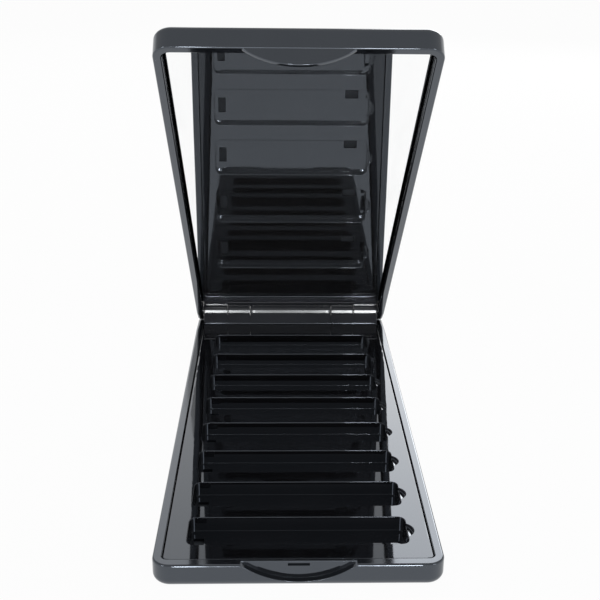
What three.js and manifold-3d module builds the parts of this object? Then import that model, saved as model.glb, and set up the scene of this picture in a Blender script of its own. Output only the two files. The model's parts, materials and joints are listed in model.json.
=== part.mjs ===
// Slim makeup palette box: a base with a glossy eight-well tray and a mirrored lid on a barrel hinge.
// Millimetres, +Z up. X runs across the box, Y from the front edge back to the hinge.
// While the pieces are drawn, Z = 0 is the base's rim plane, and the lid is drawn shut.
import * as THREE from 'three';
import { mergeVertices } from 'three/addons/utils/BufferGeometryUtils.js';
import Module from 'manifold-3d';

const wasm = await Module();
wasm.setup();

// Case
const WIDTH = 64;
const SIDE_WALL = 2.1;
const FRONT_RIM = 2.5;
const FRONT_CORNER = 4;
const REAR_CORNER = 2.6;
const GAP = 0.3;

// Base, measured down from its rim plane
const BASE_HEIGHT = 5.6;
const BASE_EDGE_RADIUS = 2;
const BASE_FLOOR = 0.9;
const LEDGE_DEPTH = 1.55;
const LEDGE_WIDTH = 1.2;
const POCKET_CORNER = 1.4;

// Hinge: its axis lies at half the lid's height, so barrel, lugs and ears are flush with the lid
const AXIS_Y = 150.1;
const AXIS_Z = 3.3;
const BARREL_RADIUS = 3.1;
const BARREL_HALF = 29.6;
const OUTER_SPLIT = 21.6;
const INNER_SPLIT = 13.9;
const BARREL_CLEARANCE = 0.4;
const LUG_WEB = 1.9;
const PIN_RADIUS = 0.8;
const PIN_RECESS = 0.4;
const PIN_REACH = 4.5;
const LENGTH = AXIS_Y + BARREL_RADIUS;
const OPEN_ANGLE = THREE.MathUtils.degToRad(43.4);

// Lid, measured up from the base's rim plane
const LID_TOP = AXIS_Z + BARREL_RADIUS;
const LID_EDGE_RADIUS = 1.6;
const LID_ROOF = 1;

// Mirror on two strips of tape
const MIRROR_FACE = 3.4;
const MIRROR_GLASS = 1.2;
const MIRROR_CORNER = 1.6;
const TAPE_THICKNESS = 0.25;
const TAPE_WIDTH = 9;
const TAPE_CENTRE = 17;
const TAPE_MARGIN = 14;

// Tray and its wells
const DECK_DROP = 0.25;
const DECK_THICKNESS = 1;
const DECK_CORNER = 1.1;
const DECK_REAR_RIM = 0.55;
const WELL_COUNT = 8;
const WELL_LENGTH = 50;
const WELL_WIDTH = 11.5;
const WELL_PITCH = 16.53;
const WELL_DEPTH = 3.6;
const WELL_CORNER = 1.8;
const WELL_WALL = 0.6;
const FRONT_WELL_CENTRE = 14.3;

// Finger notch at each well's right end, and two small slots through its floor
const NOTCH_RADIUS = 3.2;
const NOTCH_REACH = 1.55;
const NOTCH_DEPTH = 2.2;
const RIGHT_SLOT = { x: 19.6, width: 4.3, length: 3.1 };
const LEFT_SLOT = { x: -22.7, width: 2.4, length: 4.8 };

// Thumb recess in the base's front wall, and the lid's tongue that fills it
const THUMB_RADIUS = 20.2;
const THUMB_DEPTH = 4.25;
const THUMB_SETBACK = 1.6;
const TONGUE_CLEARANCE = 0.4;
const LATCH_WIDTH = 4.8;
const LATCH_HEIGHT = 0.8;
const LATCH_TOP = 0.4;
const LATCH_DEPTH = 0.5;
const NUB_RISE = 0.2;
const NUB_INSET = 0.15;

// Facets
const CORNER_STEPS = 5;
const EDGE_STEPS = 4;
const BARREL_STEPS = 40;
const BORE_STEPS = 20;
const THUMB_STEPS = 120;
const OVERCUT = 2;
const MERGE_DISTANCE = 1e-5;

// A closed three.js geometry as a solid that can be joined and cut
function solidOf(geometry) {
  const bare = geometry.clone();
  bare.deleteAttribute('normal');
  bare.deleteAttribute('uv');
  const merged = mergeVertices(bare, MERGE_DISTANCE);
  return new wasm.Manifold(new wasm.Mesh({
    numProp: 3,
    vertProperties: merged.attributes.position.array,
    triVerts: new Uint32Array(merged.index.array),
  }));
}

function geometryOf(solid) {
  const mesh = solid.getMesh();
  const geometry = new THREE.BufferGeometry();
  geometry.setAttribute('position', new THREE.BufferAttribute(mesh.vertProperties, mesh.numProp));
  geometry.setIndex(new THREE.BufferAttribute(mesh.triVerts, 1));
  geometry.computeVertexNormals();
  return geometry;
}

const joined = (solids) => solids.reduce((whole, solid) => whole.add(solid));
const cutBy = (solid, tools) => tools.reduce((rest, tool) => rest.subtract(tool), solid);

// Rectangle in plan with its own corner radius at the front and at the rear
function planOutline(left, right, front, rear, frontRadius, rearRadius) {
  const outline = new THREE.Shape();
  outline.moveTo(left + frontRadius, front);
  outline.lineTo(right - frontRadius, front);
  outline.absarc(right - frontRadius, front + frontRadius, frontRadius, -Math.PI / 2, 0);
  outline.lineTo(right, rear - rearRadius);
  outline.absarc(right - rearRadius, rear - rearRadius, rearRadius, 0, Math.PI / 2);
  outline.lineTo(left + rearRadius, rear);
  outline.absarc(left + rearRadius, rear - rearRadius, rearRadius, Math.PI / 2, Math.PI);
  outline.lineTo(left, front + frontRadius);
  outline.absarc(left + frontRadius, front + frontRadius, frontRadius, Math.PI, 1.5 * Math.PI);
  return outline;
}

function slab(outline, bottom, top) {
  const options = { depth: top - bottom, bevelEnabled: false, curveSegments: CORNER_STEPS };
  return solidOf(new THREE.ExtrudeGeometry(outline, options).translate(0, 0, bottom));
}

// A slab whose upper and lower edges are rounded
function softSlab(outline, bottom, top, radius) {
  const options = {
    depth: top - bottom - 2 * radius,
    bevelThickness: radius,
    bevelSize: radius,
    bevelOffset: -radius,
    bevelSegments: EDGE_STEPS,
    curveSegments: CORNER_STEPS,
  };
  return solidOf(new THREE.ExtrudeGeometry(outline, options).translate(0, 0, bottom + radius));
}

function block(left, right, front, rear, bottom, top) {
  const box = new THREE.BoxGeometry(right - left, rear - front, top - bottom);
  return solidOf(box.translate((left + right) / 2, (front + rear) / 2, (bottom + top) / 2));
}

// A round bar on the hinge axis
function axisRod(left, right, radius, steps) {
  const rod = new THREE.CylinderGeometry(radius, radius, right - left, steps).rotateZ(Math.PI / 2);
  return solidOf(rod.translate((left + right) / 2, AXIS_Y, AXIS_Z));
}

// Round along Y whose circle dips below the rim plane: the thumb recess, or the tongue inside it
function thumbRound(front, rear, radius) {
  const round = new THREE.CylinderGeometry(radius, radius, rear - front, THUMB_STEPS);
  return solidOf(round.translate(0, (front + rear) / 2, THUMB_RADIUS - THUMB_DEPTH));
}

// Barrel stretch that stands on the base's rear edge
function baseBarrel(left, right) {
  const foot = block(left, right, AXIS_Y - BARREL_RADIUS, LENGTH, -BARREL_CLEARANCE, AXIS_Z);
  return axisRod(left, right, BARREL_RADIUS, BARREL_STEPS).add(foot);
}

function baseShell() {
  const half = WIDTH / 2;
  const outline = planOutline(-half, half, 0, LENGTH, FRONT_CORNER, REAR_CORNER);
  const body = softSlab(outline, -BASE_HEIGHT, BASE_EDGE_RADIUS + OVERCUT, BASE_EDGE_RADIUS);
  const aboveRim = block(-WIDTH, WIDTH, -OVERCUT, LENGTH + OVERCUT, 0, 2 * BASE_HEIGHT);
  const pocketHalf = half - SIDE_WALL;
  const pocketRear = AXIS_Y - BARREL_RADIUS - DECK_REAR_RIM;
  const seat = planOutline(-pocketHalf, pocketHalf, FRONT_RIM, pocketRear, POCKET_CORNER, POCKET_CORNER);
  const well = planOutline(
    -pocketHalf + LEDGE_WIDTH, pocketHalf - LEDGE_WIDTH,
    FRONT_RIM + LEDGE_WIDTH, pocketRear - LEDGE_WIDTH, POCKET_CORNER, POCKET_CORNER,
  );
  const latchSlot = block(
    -LATCH_WIDTH / 2, LATCH_WIDTH / 2, THUMB_SETBACK - LATCH_DEPTH, THUMB_SETBACK + LATCH_DEPTH,
    -LATCH_TOP - LATCH_HEIGHT, -LATCH_TOP,
  );
  const shell = cutBy(body, [
    aboveRim,
    slab(seat, -LEDGE_DEPTH, OVERCUT),
    slab(well, BASE_FLOOR - BASE_HEIGHT, OVERCUT),
    thumbRound(-OVERCUT, THUMB_SETBACK, THUMB_RADIUS),
    latchSlot,
  ]);
  const barrels = [
    baseBarrel(-BARREL_HALF, -OUTER_SPLIT - GAP / 2),
    baseBarrel(-INNER_SPLIT + GAP / 2, INNER_SPLIT - GAP / 2),
    baseBarrel(OUTER_SPLIT + GAP / 2, BARREL_HALF),
  ];
  return cutBy(joined([shell, ...barrels]), [pinBore(-1), pinBore(1)]);
}

// Space round a pin, from outside the lid's ear to the pin's inner end
function pinBore(side) {
  const ends = [side * WIDTH, side * (INNER_SPLIT - PIN_REACH - GAP)].sort((a, b) => a - b);
  return axisRod(ends[0], ends[1], PIN_RADIUS + GAP, BORE_STEPS);
}

function hingePin(side) {
  const ends = [side * (WIDTH / 2 - PIN_RECESS), side * (INNER_SPLIT - PIN_REACH)].sort((a, b) => a - b);
  return axisRod(ends[0], ends[1], PIN_RADIUS, BORE_STEPS);
}

const wellCentres = Array.from({ length: WELL_COUNT }, (_, i) => FRONT_WELL_CENTRE + i * WELL_PITCH);

// Outline of a well at the deck, grown outwards by the cup's wall
function wellOutline(centre, wall) {
  const halfLength = WELL_LENGTH / 2 + wall;
  const halfWidth = WELL_WIDTH / 2 + wall;
  const radius = WELL_CORNER + wall;
  return planOutline(-halfLength, halfLength, centre - halfWidth, centre + halfWidth, radius, radius);
}

// Upright round scoop that widens the well's right end for a fingernail
function fingerNotch(centre, wall, bottom, top) {
  const notch = new THREE.CylinderGeometry(NOTCH_RADIUS + wall, NOTCH_RADIUS + wall, top - bottom, BORE_STEPS);
  const x = WELL_LENGTH / 2 + NOTCH_REACH - NOTCH_RADIUS;
  return solidOf(notch.rotateX(Math.PI / 2).translate(x, centre, (bottom + top) / 2));
}

function floorSlot(slot, centre, floor) {
  return block(
    slot.x - slot.width / 2, slot.x + slot.width / 2, centre - slot.length / 2, centre + slot.length / 2,
    floor - OVERCUT, floor + OVERCUT / 2,
  );
}

function wellTray() {
  const deckTop = -DECK_DROP;
  const deckUnder = deckTop - DECK_THICKNESS;
  const floor = deckTop - WELL_DEPTH;
  const half = WIDTH / 2 - SIDE_WALL - DECK_DROP;
  const rear = AXIS_Y - BARREL_RADIUS - DECK_REAR_RIM - DECK_DROP;
  const deck = planOutline(-half, half, FRONT_RIM + DECK_DROP, rear, DECK_CORNER, DECK_CORNER);
  const cups = wellCentres.flatMap((centre) => [
    slab(wellOutline(centre, WELL_WALL), floor - WELL_WALL, deckTop),
    fingerNotch(centre, WELL_WALL, deckTop - NOTCH_DEPTH - WELL_WALL, deckTop),
  ]);
  const hollows = wellCentres.flatMap((centre) => [
    slab(wellOutline(centre, 0), floor, OVERCUT),
    fingerNotch(centre, 0, deckTop - NOTCH_DEPTH, OVERCUT),
    floorSlot(RIGHT_SLOT, centre - (WELL_WIDTH - RIGHT_SLOT.length) / 2 + GAP, floor),
    floorSlot(LEFT_SLOT, centre, floor),
  ]);
  return cutBy(joined([slab(deck, deckUnder, deckTop), ...cups]), hollows);
}

// Lug between two base barrels, joined to the roof by a tangent web
function lidLug(left, right) {
  const webFront = AXIS_Y - BARREL_RADIUS - BARREL_CLEARANCE - GAP;
  const web = block(left, right, webFront, AXIS_Y, LID_TOP - LUG_WEB, LID_TOP);
  return axisRod(left, right, BARREL_RADIUS, BARREL_STEPS).add(web);
}

function lidTongue() {
  const thickness = THUMB_SETBACK - TONGUE_CLEARANCE;
  const reach = block(-THUMB_RADIUS, THUMB_RADIUS, 0, thickness, -THUMB_DEPTH, LID_TOP / 2);
  const nub = block(
    NUB_INSET - LATCH_WIDTH / 2, LATCH_WIDTH / 2 - NUB_INSET, thickness / 2, thickness + NUB_RISE,
    NUB_INSET - LATCH_TOP - LATCH_HEIGHT, -LATCH_TOP - NUB_INSET,
  );
  return thumbRound(0, thickness, THUMB_RADIUS - TONGUE_CLEARANCE).intersect(reach).add(nub);
}

function lidShell() {
  const half = WIDTH / 2;
  const outline = planOutline(-half, half, 0, LENGTH + OVERCUT, FRONT_CORNER, REAR_CORNER);
  const body = softSlab(outline, -LID_EDGE_RADIUS - OVERCUT, LID_TOP, LID_EDGE_RADIUS);
  const sideProfile = joined([
    block(-WIDTH, WIDTH, -OVERCUT, AXIS_Y, GAP, LID_TOP + OVERCUT),
    axisRod(-WIDTH, WIDTH, BARREL_RADIUS, BARREL_STEPS),
  ]);
  const innerHalf = half - SIDE_WALL;
  const innerCorner = FRONT_CORNER - SIDE_WALL;
  const inside = planOutline(-innerHalf, innerHalf, SIDE_WALL, LENGTH + OVERCUT, innerCorner, innerCorner);
  const barrelRoom = joined([
    axisRod(-innerHalf, innerHalf, BARREL_RADIUS + BARREL_CLEARANCE, BARREL_STEPS),
    block(-innerHalf, innerHalf, AXIS_Y, LENGTH + OVERCUT, -OVERCUT, LID_TOP + OVERCUT),
  ]);
  const shell = cutBy(body.intersect(sideProfile), [slab(inside, -BASE_HEIGHT, LID_TOP - LID_ROOF), barrelRoom]);
  const lugs = [-1, 1].map((side) => {
    const ends = [side * (OUTER_SPLIT - GAP / 2), side * (INNER_SPLIT + GAP / 2)].sort((a, b) => a - b);
    return lidLug(ends[0], ends[1]);
  });
  return cutBy(joined([shell, lidTongue(), ...lugs]), [pinBore(-1), pinBore(1)]);
}

function mirrorGlass() {
  const half = WIDTH / 2 - SIDE_WALL - GAP;
  const rear = AXIS_Y - BARREL_RADIUS - BARREL_CLEARANCE - 2 * GAP;
  const outline = planOutline(-half, half, SIDE_WALL + GAP, rear, MIRROR_CORNER, MIRROR_CORNER);
  return slab(outline, MIRROR_FACE, MIRROR_FACE + MIRROR_GLASS);
}

function mirrorTape(side) {
  const middle = (MIRROR_FACE + MIRROR_GLASS + LID_TOP - LID_ROOF) / 2;
  const centre = side * TAPE_CENTRE;
  return block(
    centre - TAPE_WIDTH / 2, centre + TAPE_WIDTH / 2, TAPE_MARGIN, AXIS_Y - TAPE_MARGIN,
    middle - TAPE_THICKNESS / 2, middle + TAPE_THICKNESS / 2,
  );
}

function named(name, solid, color, roughness, metalness) {
  const material = new THREE.MeshStandardMaterial({ color, roughness, metalness });
  const mesh = new THREE.Mesh(geometryOf(solid), material);
  mesh.name = name;
  return mesh;
}

const CHARCOAL = 0x2c2d31;
const GLOSS_BLACK = 0x0e0f11;
const SILVER = 0xe6eaec;
const STEEL = 0xb9bdc2;
const TAPE_WHITE = 0xdedcd4;

// The lid's pieces are drawn shut, then hung on the hinge axis and swung open
const lid = new THREE.Group();
lid.position.set(0, AXIS_Y, AXIS_Z);
lid.rotation.x = -OPEN_ANGLE;
const lidPieces = [
  named('lid_shell', lidShell(), CHARCOAL, 0.35, 0),
  named('mirror', mirrorGlass(), SILVER, 0.03, 1),
  named('mirror_tape_left', mirrorTape(-1), TAPE_WHITE, 0.8, 0),
  named('mirror_tape_right', mirrorTape(1), TAPE_WHITE, 0.8, 0),
];
lidPieces.forEach((piece) => piece.position.set(0, -AXIS_Y, -AXIS_Z));
lid.add(...lidPieces);

// The origin is under the middle of the box, on the surface that it stands on
const assembly = new THREE.Group();
assembly.position.set(0, -LENGTH / 2, BASE_HEIGHT);
assembly.add(
  named('base_shell', baseShell(), CHARCOAL, 0.35, 0),
  named('well_tray', wellTray(), GLOSS_BLACK, 0.1, 0),
  named('hinge_pin_left', hingePin(-1), STEEL, 0.25, 1),
  named('hinge_pin_right', hingePin(1), STEEL, 0.25, 1),
  lid,
);

const palette = new THREE.Group();
palette.add(assembly);

export default palette;
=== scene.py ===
"""Dressed model of a slim makeup palette box: moulded case, glossy well tray, mirrored lid on a barrel hinge.

Pieces are drawn in millimetres in the case's own frame: X across, Y from the front edge to the hinge, Z from
the base's rim plane, with the lid shut. They are then moved into the frame's metres, and the lid's are swung
open.
"""
import json
import logging
import math
from dataclasses import dataclass, field
from enum import Enum
from typing import Callable, Sequence

import bmesh
import bpy
import numpy as np
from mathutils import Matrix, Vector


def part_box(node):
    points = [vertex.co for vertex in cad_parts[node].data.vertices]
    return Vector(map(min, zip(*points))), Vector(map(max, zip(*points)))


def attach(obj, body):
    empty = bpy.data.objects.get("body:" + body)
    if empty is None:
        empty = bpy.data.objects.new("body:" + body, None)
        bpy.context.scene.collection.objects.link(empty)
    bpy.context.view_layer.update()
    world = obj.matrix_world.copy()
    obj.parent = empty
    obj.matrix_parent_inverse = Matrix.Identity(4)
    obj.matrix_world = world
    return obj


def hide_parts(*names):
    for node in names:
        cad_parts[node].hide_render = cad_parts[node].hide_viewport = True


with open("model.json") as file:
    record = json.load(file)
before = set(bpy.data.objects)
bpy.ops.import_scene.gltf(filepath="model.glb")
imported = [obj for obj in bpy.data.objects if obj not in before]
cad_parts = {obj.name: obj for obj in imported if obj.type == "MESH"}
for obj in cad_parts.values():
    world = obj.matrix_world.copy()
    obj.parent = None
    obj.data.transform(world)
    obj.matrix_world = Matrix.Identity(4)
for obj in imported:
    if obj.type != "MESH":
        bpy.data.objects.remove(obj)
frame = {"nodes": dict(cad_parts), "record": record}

Array = np.ndarray
Material = bpy.types.Material
Piece = bpy.types.Object
Socket = bpy.types.NodeSocket
Pair = tuple[float, float]
Triple = tuple[float, float, float]
Placing = Callable[[Array], Array]

MM = 0.001
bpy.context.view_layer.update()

# Points this close in metres are merged, and faces that turn by more than this many degrees keep their edge.
WELD = 2e-6
SHARP_TURN = 38.0
# How strongly large faces lead the shading of their corners: 50 is evenly, 100 is the most.
FACE_WEIGHT = 100
# Lengths in millimetres that count as none, as the same place, and as lying on an edge.
TINY = 1e-9
SAME = 1e-6
NEAR = 1e-3
# A round takes at most this share of a leg, and its corner folds back no further than this cosine.
LEG_SHARE = 0.49
SHARPEST_FOLD = -0.999
# Least corner radius of a rectangle that is drawn in, and the decimals to which points are matched.
LEAST_CORNER = 0.05
DECIMALS = 6
# Points to a small edge's round and to a larger one, and steps round a plan corner.
EDGE_STEPS = 4
ROUND_STEPS = 8
CORNER_STEPS = 12
# Reach of the straights that all loops of a surface share, and the places along the case's sides.
STRAIGHT_REACH = 23.0
SIDE_PLACES = np.linspace(10, 140, 9)
# Facets of a rod, and the inner ring of its caps as a share of its radius.
ROD_FACETS = 48
CAP_SHARE = 1 / 3
# Distance of a prism's first ring from its end, as a share of its length.
RING_SHARE = 0.06
# Half the eased stretch of an arc in degrees, and the crown over its chord in millimetres.
EASED_HALF = 9.0
EASED_CROWN = 0.0075

log = logging.getLogger("palette")


class Body(Enum):
    """Rigid bodies of the frame that a piece can ride on."""

    BASE = "base"
    LID = "lid"


class Side(Enum):
    """The two ends of the hinge, with the sign of their x."""

    LEFT = -1
    RIGHT = 1


class Blend(Enum):
    """Ways to combine two values of a finish."""

    SUM = "ADD"
    LARGER = "MAXIMUM"


class Slot(Enum):
    """Material slots of the record, named beside each piece's finish."""

    CASE = "case_plastic"
    TRAY = "tray_plastic"
    MIRROR = "mirror_glass"
    PIN = "pin_steel"


@dataclass(frozen=True)
class CaseFrame:
    """Driving sizes of the case in millimetres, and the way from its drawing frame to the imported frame.

    Attributes:
        width: outer width of the base.
        length: outer length of the base.
        height: height of the base's rim plane over the surface it stands on.
        axis_y: hinge axis behind the front edge.
        axis_z: hinge axis above the rim plane.
        opening: angle in radians by which the lid stands open at rest.
    """

    width: float
    length: float
    height: float
    axis_y: float
    axis_z: float
    opening: float

    @classmethod
    def from_frame(cls, deck_drop: float) -> "CaseFrame":
        """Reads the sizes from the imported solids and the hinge.

        Args:
            deck_drop: how far the tray's deck lies below the rim plane, in millimetres.

        Returns:
            The sizes of the case.
        """
        low, high = (np.array(corner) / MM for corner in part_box("base_shell"))
        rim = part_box("well_tray")[1][2] / MM + deck_drop
        hinge = frame["record"]["behaviour"]["joints"][0]
        axis = np.array(hinge["pos_m"]) / MM
        width, length = high[0] - low[0], high[1] - low[1]
        opening = math.radians(-hinge["range_deg"][0])
        return cls(width, length, rim, axis[1] - low[1], axis[2] - rim, opening)

    @property
    def axis(self) -> Pair:
        """Y and z of the hinge axis."""
        return self.axis_y, self.axis_z

    def base_points(self, points: Array) -> Array:
        """Moves drawn points, shape (..., 3) in millimetres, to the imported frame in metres."""
        return (points + (0.0, -self.length / 2, self.height)) * MM

    def lid_points(self, points: Array) -> Array:
        """Swings drawn points of the shut lid open about the hinge axis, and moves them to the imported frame.

        With the offset (y, z) from the axis, the swung offset is (y cos a + z sin a, z cos a - y sin a).

        Args:
            points: drawn points, shape (..., 3) in millimetres.

        Returns:
            The points in metres.
        """
        offset = points - (0.0, *self.axis)
        cosine, sine = math.cos(self.opening), math.sin(self.opening)
        swung = offset.copy()
        swung[..., 1] = cosine * offset[..., 1] + sine * offset[..., 2]
        swung[..., 2] = cosine * offset[..., 2] - sine * offset[..., 1]
        return self.base_points(swung + (0.0, *self.axis))


@dataclass(frozen=True)
class Rectangle:
    """A plan rectangle with one corner radius at the front and one at the rear, in millimetres."""

    left: float
    right: float
    front: float
    rear: float
    front_radius: float
    rear_radius: float

    def inset(self, distance: float) -> "Rectangle":
        """The same rectangle drawn in by a distance on all sides, its corners at least slightly round."""
        return Rectangle(
            self.left + distance, self.right - distance, self.front + distance, self.rear - distance,
            max(self.front_radius - distance, LEAST_CORNER), max(self.rear_radius - distance, LEAST_CORNER),
        )


@dataclass(frozen=True)
class Stations:
    """Places along a plan loop that all loops of one surface share, so that they join point to point.

    Attributes:
        front_x: rising x of the points on the front straight.
        rear_x: rising x of the points on the rear straight.
        side_y: rising y of the points on the two sides.
        arc: number of steps round each corner.
    """

    front_x: Array
    rear_x: Array
    side_y: Array
    arc: int

    def loop(self, shape: Rectangle) -> tuple[Array, Array]:
        """Walks round a rectangle anticlockwise from its front left corner.

        A straight point is (x, front), (right, y), (x, rear) or (left, y). A corner point is
        centre + radius * (cos a, sin a), with a turning a quarter at each corner.

        Args:
            shape: the rectangle.

        Returns:
            Points of shape (n, 2) and the unit normals that point into the rectangle.
        """
        turn = np.linspace(0, math.pi / 2, self.arc + 1)

        def corner(x: float, y: float, radius: float, start: float) -> tuple[Array, Array]:
            """A quarter turn about (x, y) from an angle on, with its normals."""
            out = np.stack([np.cos(start + turn), np.sin(start + turn)], 1)
            return np.array([x, y]) + radius * out, -out

        def straight(x: Array, y: Array, normal: Pair) -> tuple[Array, Array]:
            """A straight stretch with its one normal."""
            points = np.stack(np.broadcast_arrays(x, y), 1)
            return points, np.broadcast_to(np.array(normal), points.shape)

        s, f, r = shape, shape.front_radius, shape.rear_radius
        parts = [
            straight(self.front_x, np.array([s.front]), (0.0, 1.0)),
            corner(s.right - f, s.front + f, f, -math.pi / 2),
            straight(np.array([s.right]), self.side_y, (-1.0, 0.0)),
            corner(s.right - r, s.rear - r, r, 0.0),
            straight(self.rear_x[::-1], np.array([s.rear]), (0.0, -1.0)),
            corner(s.left + r, s.rear - r, r, math.pi / 2),
            straight(np.array([s.left]), self.side_y[::-1], (1.0, 0.0)),
            corner(s.left + f, s.front + f, f, math.pi),
        ]
        return np.concatenate([p for p, _ in parts]), np.concatenate([n for _, n in parts])


def spaced(reach: float, count: int) -> Array:
    """Evenly spaced places from -reach to reach."""
    return np.linspace(-reach, reach, count)


def at_height(loop: Array, z: float | Array) -> Array:
    """Lifts plan points of shape (n, 2) to the height z, giving shape (n, 3)."""
    return np.column_stack([loop, np.broadcast_to(z, len(loop))])


def rounded_profile(corners: Array, radii: Sequence[float] | Array, steps: int) -> Array:
    """Rounds the inner corners of many polylines at once.

    Each inner corner p becomes the rational arc
    ((1-s)^2 a + 2 w s (1-s) p + s^2 b) / ((1-s)^2 + 2 w s (1-s) + s^2). Its ends a and b lie
    radius * tan(turn / 2) before and after p, and w = cos(turn / 2). A leg too short for its radius takes a
    smaller one.

    Args:
        corners: polylines, shape (u, n, 3).
        radii: one radius for each of the n corners, shape (n,) or (u, n); the first and last are not used.
        steps: points to an arc.

    Returns:
        The rounded polylines, shape (u, 2 + (n - 2) * steps, 3).
    """
    before, here, after = corners[:, :-2], corners[:, 1:-1], corners[:, 2:]
    into, out = here - before, after - here
    into_length = np.linalg.norm(into, axis=-1, keepdims=True)
    out_length = np.linalg.norm(out, axis=-1, keepdims=True)
    into, out = into / np.maximum(into_length, TINY), out / np.maximum(out_length, TINY)
    half_turn = np.arccos(np.clip((into * out).sum(-1, keepdims=True), SHARPEST_FOLD, 1.0)) / 2
    wanted = np.asarray(radii, float)[..., 1:-1, None] * np.tan(half_turn)
    reach = np.minimum(wanted, LEG_SHARE * np.minimum(into_length, out_length))
    start, end, weight = here - into * reach, here + out * reach, np.cos(half_turn)
    s = np.linspace(0, 1, steps)[:, None]
    first, middle, last = (1 - s) ** 2, 2 * s * (1 - s), s**2
    weight = weight[:, :, None]
    arcs = first * start[:, :, None] + middle * weight * here[:, :, None] + last * end[:, :, None]
    arcs = arcs / (first + middle * weight + last)
    return np.concatenate([corners[:, :1], arcs.reshape(len(corners), -1, 3), corners[:, -1:]], 1)


def grid_faces(rows: int, columns: int, wrap: bool) -> Array:
    """Corner numbers of the quads of a grid of points, numbered row by row.

    Args:
        rows: number of rows.
        columns: number of columns.
        wrap: joins the last row to the first.

    Returns:
        Four point numbers for each quad, shape (n, 4).
    """
    row = np.arange(rows if wrap else rows - 1)[:, None]
    column = np.arange(columns - 1)[None, :]
    here, beside = row * columns + column, (row + 1) % rows * columns + column
    return np.stack([here, beside, beside + 1, here + 1], -1).reshape(-1, 4)


@dataclass
class Patch:
    """A stretch of surface: points of shape (n, 3) and faces as lists of point numbers."""

    points: Array
    faces: list[list[int]]

    @classmethod
    def loft(cls, grid: Array, wrap: bool = True, first_cap: bool = True, last_cap: bool = True) -> "Patch":
        """A grid of rows (u) by columns (v) as quads, its first and last column closed by flat caps.

        Args:
            grid: points of shape (u, v, 3).
            wrap: joins the last row to the first.
            first_cap: closes the ring of first points.
            last_cap: closes the ring of last points.

        Returns:
            The patch.
        """
        rows, columns = grid.shape[:2]
        faces = grid_faces(rows, columns, wrap).tolist()
        ring = np.arange(rows) * columns
        if first_cap:
            faces.append(ring.tolist())
        if last_cap:
            faces.append((ring[::-1] + columns - 1).tolist())
        return cls(grid.reshape(-1, 3), faces)


def joined(patches: Sequence[Patch]) -> Patch:
    """Puts patches into one, without welding their points.

    Args:
        patches: the patches.

    Returns:
        One patch with all their points and faces.
    """
    starts = np.cumsum([0] + [len(p.points) for p in patches[:-1]])
    faces = [(np.array(f) + start).tolist() for p, start in zip(patches, starts) for f in p.faces]
    return Patch(np.concatenate([p.points for p in patches]), faces)


def box_patch(low: Sequence[float], high: Sequence[float]) -> Patch:
    """A closed box between two corners, with one quad to a side.

    Args:
        low: the corner with the least x, y and z.
        high: the opposite corner.

    Returns:
        The box.
    """
    corners = np.stack(np.meshgrid(*zip(low, high), indexing="ij"), -1).reshape(-1, 3)
    faces = [[0, 1, 3, 2], [4, 6, 7, 5], [0, 4, 5, 1], [2, 3, 7, 6], [0, 2, 6, 4], [1, 5, 7, 3]]
    return Patch(corners, faces)


def rod_patch(left: float, right: float, centre: Pair, radius: float, edge: float) -> Patch:
    """A round bar along X: the profile (x, r) is turned about the axis, with its two edges rounded.

    Args:
        left: x of one end.
        right: x of the other end.
        centre: y and z of the axis.
        radius: radius of the bar.
        edge: radius of its rounded edges.

    Returns:
        The closed bar.
    """
    turn = np.linspace(0, 2 * math.pi, ROD_FACETS, endpoint=False)
    ring = np.stack([np.cos(turn), np.sin(turn)], 1)

    def station(x: float, r: float) -> Array:
        """The ring of radius r at x."""
        return np.column_stack([np.full(len(ring), x), np.array(centre) + r * ring])

    core = radius * CAP_SHARE
    profile = ((left, core), (left, radius), (right, radius), (right, core))
    corners = np.stack([station(*point) for point in profile], 1)
    return Patch.loft(rounded_profile(corners, [0, edge, edge, 0], EDGE_STEPS))


def prism_along_x(outline: Array, left: float, right: float, edge: float) -> Patch:
    """Carries a closed outline in Y and Z along X, with the edges of both ends rounded.

    The point at outline place u and station v is (x(v), outline(u) + d(v) * inward(u)), where the corners of
    (x, d) at the two ends are rounded by the edge radius. A ring near each end keeps the shading even.

    Args:
        outline: points of shape (n, 2), going round anticlockwise in (y, z).
        left: x of the first end.
        right: x of the last end.
        edge: radius of the end edges.

    Returns:
        The closed prism.
    """
    along = np.roll(outline, -1, 0) - np.roll(outline, 1, 0)
    inward = np.stack([-along[:, 1], along[:, 0]], 1) / np.linalg.norm(along, axis=1, keepdims=True)
    drawn_in = outline + inward * 2 * edge

    def station(x: float, points: Array) -> Array:
        """An outline's points at x."""
        return np.column_stack([np.full(len(points), x), points])

    margin = (right - left) * RING_SHARE
    corners = np.stack([
        station(left, drawn_in), station(left, outline), station(left + margin, outline),
        station(right - margin, outline), station(right, outline), station(right, drawn_in),
    ], 1)
    return Patch.loft(rounded_profile(corners, [0, edge, 0, 0, edge, 0], EDGE_STEPS))


def line_points(start: Pair, end: Pair, steps: int) -> Array:
    """Points from start towards end in even steps, without the end, shape (steps, 2)."""
    return np.linspace(start, end, steps, endpoint=False)


def arc_points(centre: Pair, radius: float, start: float, end: float, steps: int) -> Array:
    """Points (c + r cos a, c + r sin a) with a from start to end in degrees, shape (steps + 1, 2)."""
    angle = np.radians(np.linspace(start, end, steps + 1))
    return np.array(centre) + radius * np.stack([np.cos(angle), np.sin(angle)], 1)


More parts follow.
